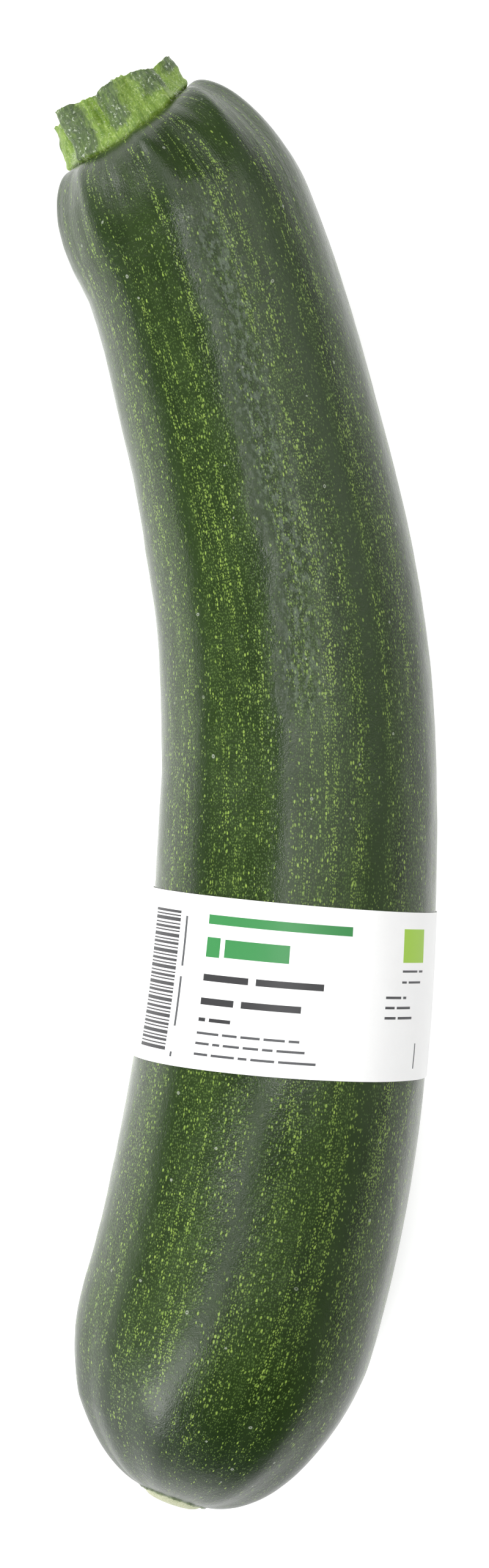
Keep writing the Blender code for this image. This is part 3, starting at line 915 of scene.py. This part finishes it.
def build_label():
    lay_out_marks()
    start = SEAM - 360.0
    cuts = list(np.arange(start, SEAM + 0.01, 2.4))
    cuts += [m[1] for m in MARKS] + [m[2] for m in MARKS] + [SEAM]
    cols = np.array(sorted(set(np.round(cuts, 4))))
    lines = list(np.linspace(0.0, 1.0, 13))
    lines += [m[3] for m in MARKS] + [m[4] for m in MARKS]
    vs = np.array(sorted(set(np.round(lines, 5))))

    def clean(values, least):
        keep = [values[0]]
        for value in values[1:]:
            if value - keep[-1] > least:
                keep.append(value)
        return np.array(keep)

    cols = clean(cols, 1e-4)
    vs = clean(vs, 1e-5)
    V, PH = np.meshgrid(vs, np.radians(cols), indexing="ij")
    width = LABEL_WIDTH / (1.0 + 26.0 * np.sin(PH) / BEND_RADIUS)
    S = LABEL_CENTRE + (V - 0.5) * width + LABEL_TILT * np.sin(PH)
    point, right = axis(S)
    sag = perlin(np.stack([4.2 * np.cos(PH), 4.2 * np.sin(PH), S / 9.0],
                          -1).reshape(-1, 3), 21).reshape(S.shape)
    curl = 0.05 * smooth((np.abs(V - 0.5) - 0.44) / 0.06)

    def shell(layer):
        r = label_radius(PH, S, layer) + 0.05 * sag + curl \
            * (0.6 + 0.5 * sag)
        pos = point + (r * np.sin(PH))[..., None] * right
        pos[..., 2] += r * np.cos(PH)
        return pos

    outer, inner = shell(PAPER), shell(0.0)
    nv, nc = S.shape
    verts = np.concatenate([outer.reshape(-1, 3), inner.reshape(-1, 3)])
    faces, mats = [], []
    names = ["paper", "black", "grey", "leaf", "lime"]

    def mark_at(deg, v):
        for kind, a, b, c, d in MARKS:
            if a < deg < b and c < v < d:
                return names.index(kind)
        return 0

    uv = []
    cu = (cols - cols[0]) / (cols[-1] - cols[0])
    for i in range(nv - 1):
        for j in range(nc - 1):
            a = i * nc + j
            b = a + nc
            faces.append((a, a + 1, b + 1, b))
            mats.append(mark_at((cols[j] + cols[j + 1]) / 2.0,
                                (vs[i] + vs[i + 1]) / 2.0))
            uv += [(cu[j], vs[i] * 0.48), (cu[j + 1], vs[i] * 0.48),
                   (cu[j + 1], vs[i + 1] * 0.48), (cu[j], vs[i + 1] * 0.48)]
    off = nv * nc
    for i in range(nv - 1):
        for j in range(nc - 1):
            a = off + i * nc + j
            b = a + nc
            faces.append((a, b, b + 1, a + 1))
            mats.append(0)
            uv += [(cu[j], 0.5 + vs[i] * 0.46), (cu[j], 0.5 + vs[i + 1] * 0.46),
                   (cu[j + 1], 0.5 + vs[i + 1] * 0.46),
                   (cu[j + 1], 0.5 + vs[i] * 0.46)]
    strip = 0.97
    for j in range(nc - 1):
        for i, flip in ((0, True), (nv - 1, False)):
            a, b = i * nc + j, i * nc + j + 1
            quad = (a, b, b + off, a + off)
            faces.append(tuple(reversed(quad)) if flip else quad)
            mats.append(0)
            lo = strip if flip else strip + 0.012
            q = [(cu[j], lo), (cu[j + 1], lo), (cu[j + 1], lo + 0.01),
                 (cu[j], lo + 0.01)]
            uv += q[::-1] if flip else q
    for i in range(nv - 1):
        for j, flip in ((0, False), (nc - 1, True)):
            a, b = i * nc + j, (i + 1) * nc + j
            quad = (a, b, b + off, a + off)
            faces.append(tuple(reversed(quad)) if flip else quad)
            mats.append(0)
            q = [(vs[i] * 0.4, 0.995), (vs[i + 1] * 0.4, 0.995),
                 (vs[i + 1] * 0.4, 0.999), (vs[i] * 0.4, 0.999)]
            uv += q[::-1] if flip else q
    obj = mesh_object("paper_band", verts, faces)
    obj.data.set_sharp_from_angle(angle=math.radians(40))
    obj.data.polygons.foreach_set("material_index", mats)
    corner_uv(obj, "OFBake", uv)
    arc = np.stack([np.cos(PH) * 26.0, np.sin(PH) * 26.0, S], -1)
    point_attribute(obj, "cyl", np.concatenate(
        [arc.reshape(-1, 3), arc.reshape(-1, 3)]))
    return obj


def paper_material(name, color, roughness):
    n = Nodes(name)
    cyl = n.attribute("cyl", vector=True)
    fibres = n.noise(cyl, 3.0, 4.0, 0.6)
    cloud = n.noise(cyl, 0.25, 3.0)
    lighter = tuple(min(1.0, c * 1.03 + 0.004) for c in color)
    darker = tuple(c * 0.95 for c in color)
    tint = n.mix(n.math("MULTIPLY_ADD", cloud, 0.5, n.math(
        "MULTIPLY", fibres, 0.5)), darker, lighter)
    n.set(Base_Color=tint, Normal=n.bump(fibres, 0.000012),
          Roughness=n.math("MULTIPLY_ADD", fibres, 0.12, roughness))
    return n.material


# --------------------------------------------------------------------- hairs
def build_hairs(name, roots, normals, leans, lengths, width, bend, seed):
    """Thin tapered three-sided hairs, as one mesh."""
    rng = np.random.default_rng(seed)
    verts, faces = [], []
    parts = 4
    for root, normal, lean, length in zip(roots, normals, leans, lengths):
        normal = normal / np.linalg.norm(normal)
        d = lean / max(np.linalg.norm(lean), 1e-9)
        side = np.cross(normal, d)
        side = side / max(np.linalg.norm(side), 1e-9)
        up = np.cross(d, side)
        curve = bend * rng.uniform(-1.0, 1.0)
        droop = rng.uniform(0.0, 0.5)
        start = len(verts)
        for i in range(parts + 1):
            t = i / parts
            c = root + d * length * t + side * curve * length * t * t \
                - normal * droop * length * 0.25 * t * t
            w = width * (1.0 - 0.8 * t)
            for k in range(3):
                a = 2.0 * math.pi * k / 3.0
                verts.append(c + (side * math.cos(a) + up * math.sin(a)) * w)
        for i in range(parts):
            a, b = start + 3 * i, start + 3 * i + 3
            for k in range(3):
                m = (k + 1) % 3
                faces.append((a + k, a + m, b + m, b + k))
        faces.append((start + 2, start + 1, start))
        e = start + 3 * parts
        faces.append((e, e + 1, e + 2))
    return mesh_object(name, np.array(verts), faces)


def hair_material():
    n = Nodes("fuzz")
    geometry = n.add("ShaderNodeNewGeometry")
    tone = n.noise(n.vector("MULTIPLY", geometry.outputs["Position"],
                            (900.0, 900.0, 900.0)), 1.0, 1.0)
    n.set(Base_Color=n.mix(tone, (0.62, 0.66, 0.55), (0.86, 0.88, 0.82)),
          Roughness=n.math("MULTIPLY_ADD", tone, 0.1, 0.35))
    return n.material


def stem_hairs(stem):
    side, theta, t = stem
    rng = np.random.default_rng(7)
    rows, cols = side.shape[:2]
    base, right, out, up = stem_frame()
    roots, normals, leans, lengths = [], [], [], []

    def surface(i, j):
        p = side[i, j]
        a = side[min(i + 1, rows - 1), j] - side[max(i - 1, 0), j]
        b = side[i, (j + 1) % cols] - side[i, j - 1]
        nrm = np.cross(b, a)
        nrm /= np.linalg.norm(nrm)
        if np.dot(nrm, p - base) < 0:
            nrm = -nrm
        return p, nrm, a / np.linalg.norm(a)

    def add(i, j, out_share, along, across, length):
        p, nrm, a = surface(i, j)
        roots.append(p - nrm * 0.02)
        normals.append(nrm)
        leans.append(nrm * out_share + a * along + np.cross(nrm, a) * across)
        lengths.append(length)

    step = 360.0 / cols
    dark = dark_rind(np.radians(np.arange(cols) * step)[None, :]
                     + np.zeros((rows, 1)), t[:, None] + np.zeros((1, cols)))
    placed = 0
    while placed < 620:
        i = int(rows * (0.10 + 0.88 * rng.random()))
        j = int(rng.integers(cols))
        if rng.random() > 0.12 + 0.88 * dark[min(i, rows - 2), j]:
            continue
        add(min(i, rows - 2), j, rng.uniform(0.10, 0.45),
            rng.uniform(-0.3, 1.0), rng.normal(0.0, 0.5),
            rng.uniform(0.16, 0.50))
        placed += 1
    # tufts in the two deep creases and at the foot
    for angle, spread, count in ((172.0, 4.0, 70), (26.0, 4.0, 80),
                                 (113.0, 4.0, 30)):
        for _ in range(count):
            i = int(rows * rng.uniform(0.12, 0.92))
            j = int((angle + rng.normal(0.0, spread)) / step) % cols
            add(i, j, rng.uniform(0.2, 0.7), rng.uniform(-0.6, 0.8),
                rng.normal(0.0, 0.8), rng.uniform(0.4, 1.3))
    for _ in range(110):
        i = int(rows * rng.uniform(0.10, 0.20))
        j = int(rng.integers(cols))
        add(i, j, rng.uniform(0.3, 0.9), -rng.uniform(0.2, 0.9),
            rng.normal(0.0, 0.5), rng.uniform(0.6, 1.7))
    # a few long ones where the right-hand crease meets the fruit
    for _ in range(16):
        i = int(rows * rng.uniform(0.10, 0.30))
        j = int((26.0 + rng.normal(0.0, 5.0)) / step) % cols
        add(i, j, rng.uniform(0.5, 0.9), -rng.uniform(0.4, 1.0),
            rng.normal(0.0, 0.6), rng.uniform(1.8, 3.6))
    return build_hairs("stem_fuzz", roots, normals, leans, lengths,
                       0.019, 0.5, 8)


def skin_hairs(fruit):
    rng = np.random.default_rng(21)
    mesh = fruit.data
    count = len(mesh.vertices)
    co = np.zeros(count * 3)
    mesh.vertices.foreach_get("co", co)
    co = co.reshape(-1, 3) / MM
    nrm = np.zeros(count * 3)
    mesh.vertex_normals.foreach_get("vector", nrm)
    nrm = nrm.reshape(-1, 3)
    roots, normals, leans, lengths = [], [], [], []
    rows = (count - 2) // AROUND
    near = 0
    while len(roots) < 170:
        if near < 60:
            i = int(rng.integers(16, 66))
        else:
            i = int(rng.integers(60, rows - 30))
        j = int(rng.integers(AROUND))
        k = i * AROUND + j
        if co[k, 2] < 2.0:
            continue
        s_here = co[k, 1]
        if -56.0 < s_here < -14.0:
            continue
        near += 1
        n0 = nrm[k]
        t = rng.normal(size=3)
        t -= n0 * np.dot(t, n0)
        t /= np.linalg.norm(t)
        roots.append(co[k] + n0 * 0.015)
        normals.append(n0)
        leans.append(t + n0 * rng.uniform(0.02, 0.16))
        lengths.append(rng.uniform(0.45, 1.5))
    return build_hairs("skin_fuzz", roots, normals, leans, lengths,
                       0.017, 0.9, 22)


# --------------------------------------------------------------------- build
fruit, skin_length = build_fruit()
fruit.data.materials.append(skin_material(skin_length))
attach(fruit, "root")
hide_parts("fruit")

stem, stem_side = build_stem()
stem.data.materials.append(stem_material())
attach(stem, "root")
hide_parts("stem_stub")

label = build_label()
for material in (paper_material("paper_white", (0.90, 0.90, 0.895), 0.42),
                 paper_material("ink_black", (0.022, 0.022, 0.024), 0.40),
                 paper_material("ink_grey", (0.060, 0.062, 0.066), 0.40),
                 paper_material("ink_leaf", (0.030, 0.215, 0.055), 0.38),
                 paper_material("ink_lime", (0.330, 0.560, 0.045), 0.38)):
    label.data.materials.append(material)
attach(label, "root")
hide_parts("label_band")

fuzz = hair_material()
for piece in (stem_hairs(stem_side), skin_hairs(fruit)):
    piece.data.materials.append(fuzz)
    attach(piece, "root")

# --------------------------------------------------------------------- stage
NARROW = (0.15, 0.30)
WIDE = (0.45, 0.45)
SOFTBOXES = (
    (-5, 8, 1.0, (0.12, 0.28), 15.0),
    (1, 8, 1.0, (0.14, 0.28), 4.6),
    (8, 8, 1.0, (0.14, 0.28), 2.8),
    (17, 8, 1.0, (0.14, 0.28), 2.9),
    (28, 8, 1.0, (0.14, 0.28), 3),
    (0, -9, 1.0, NARROW, 0.7),
    (20, -9, 1.0, NARROW, 1.3),
    (-16, -10, 1.0, (0.17, 0.17), 6.0),
    (-30, -27, 1.0, (0.42, 0.34), 4.2),
    (-68, -62, 1.2, (0.32, 0.32), 8.0),
    (0, 38, 1.2, WIDE, 3),
    (-35, 38, 1.2, WIDE, 1.7),
    (-35, -38, 1.2, WIDE, 4.2),
    (35, 38, 1.2, WIDE, 2.3),
    (-60, 40, 1.2, WIDE, 1.1),
    (-60, -40, 1.2, WIDE, 1.35),
    (60, 40, 1.2, WIDE, 0.9),
    (-60, 65, 1.2, WIDE, 6.2),
    (-60, -65, 1.2, WIDE, 3.4),
    (-46, -57, 1.0, (0.34, 0.30), 6.5),
    (-28, 58, 1.0, (0.24, 0.24), 2.2))
FLOOR_GLOW = (0.50, 0.36, 0.0)
AMBIENT = (0.28, 0.38)

bpy.ops.mesh.primitive_plane_add(size=6.0, location=(0.0, 0.0, 0.0))
floor = bpy.context.object
floor.name = "floor"
n = Nodes("floor")
n.set(Base_Color=(0.86, 0.86, 0.86), Roughness=0.85)
# a light table: the floor glows as a light, a little more on the left and just right of the
# fruit, not at all far to the right, and less towards -Y
n.shader.inputs["Emission Color"].default_value = (1.0, 1.0, 1.0, 1.0)
spot = n.add("ShaderNodeSeparateXYZ")
n.link(n.add("ShaderNodeNewGeometry").outputs["Position"], spot.inputs[0])
glow = n.math(
    "ADD", n.ramp(spot.outputs[0], 0.015, 0.036, FLOOR_GLOW[1],
                  FLOOR_GLOW[1] + 0.16),
    n.math("ADD", n.math("MULTIPLY", n.ramp(spot.outputs[1], -0.07, 0.02),
                         n.ramp(spot.outputs[0], -0.05, -0.10, 0.0,
                                FLOOR_GLOW[0] - FLOOR_GLOW[1])),
           n.ramp(spot.outputs[0], 0.055, 0.10, 0.0,
                  FLOOR_GLOW[2] - FLOOR_GLOW[1] - 0.16)))
n.set(Emission_Strength=n.math("MULTIPLY", glow, n.ramp(
    spot.outputs[1], -0.165, -0.24, 1.0, 0.15)))
floor.data.materials.append(n.material)


def softbox(name, x_deg, y_deg, distance, size, radiance):
    """Area light facing the fruit, placed by its angles from the zenith."""
    light = bpy.data.lights.new(name, "AREA")
    light.shape = "RECTANGLE"
    light.size, light.size_y = size
    light.energy = radiance * math.pi * size[0] * size[1]
    obj = bpy.data.objects.new(name, light)
    bpy.context.scene.collection.objects.link(obj)
    d = Vector((math.tan(math.radians(x_deg)), math.tan(math.radians(y_deg)),
                1.0)).normalized()
    obj.location = d * distance
    obj.rotation_euler = d.to_track_quat("Z", "Y").to_euler()
    obj.visible_camera = False
    return obj


for number, row in enumerate(SOFTBOXES):
    softbox("softbox_%02d" % number, *row)

world = bpy.data.worlds.new("studio")
bpy.context.scene.world = world
world.use_nodes = True
background = world.node_tree.nodes["Background"]
background.inputs[0].default_value = (1.0, 1.0, 1.0, 1.0)
sky = world.node_tree
towards = sky.nodes.new("ShaderNodeSeparateXYZ")
sky.links.new(sky.nodes.new("ShaderNodeTexCoord").outputs["Generated"],
              towards.inputs[0])
lift = sky.nodes.new("ShaderNodeMapRange")
sky.links.new(towards.outputs[0], lift.inputs[0])
for i, value in enumerate((0.2, 1.0, AMBIENT[0], AMBIENT[0] + AMBIENT[1])):
    lift.inputs[i + 1].default_value = value
fade = sky.nodes.new("ShaderNodeMapRange")
sky.links.new(towards.outputs[1], fade.inputs[0])
for i, value in enumerate((-0.75, -0.15, 0.12, 1.0)):
    fade.inputs[i + 1].default_value = value
strength = sky.nodes.new("ShaderNodeMath")
strength.operation = "MULTIPLY"
sky.links.new(lift.outputs[0], strength.inputs[0])
sky.links.new(fade.outputs[0], strength.inputs[1])
sky.links.new(strength.outputs[0], background.inputs[1])

camera_data = bpy.data.cameras.new("camera")
camera_data.sensor_fit = "VERTICAL"
camera_data.sensor_height = 36.0
camera_data.lens = 71.35
camera_data.clip_start = 0.01
camera = bpy.data.objects.new("camera", camera_data)
camera.location = (-0.00045, 0.0, 0.584)
bpy.context.scene.collection.objects.link(camera)
bpy.context.scene.camera = camera
bpy.context.scene.view_settings.view_transform = "Standard"
bpy.context.scene.view_settings.look = "None"
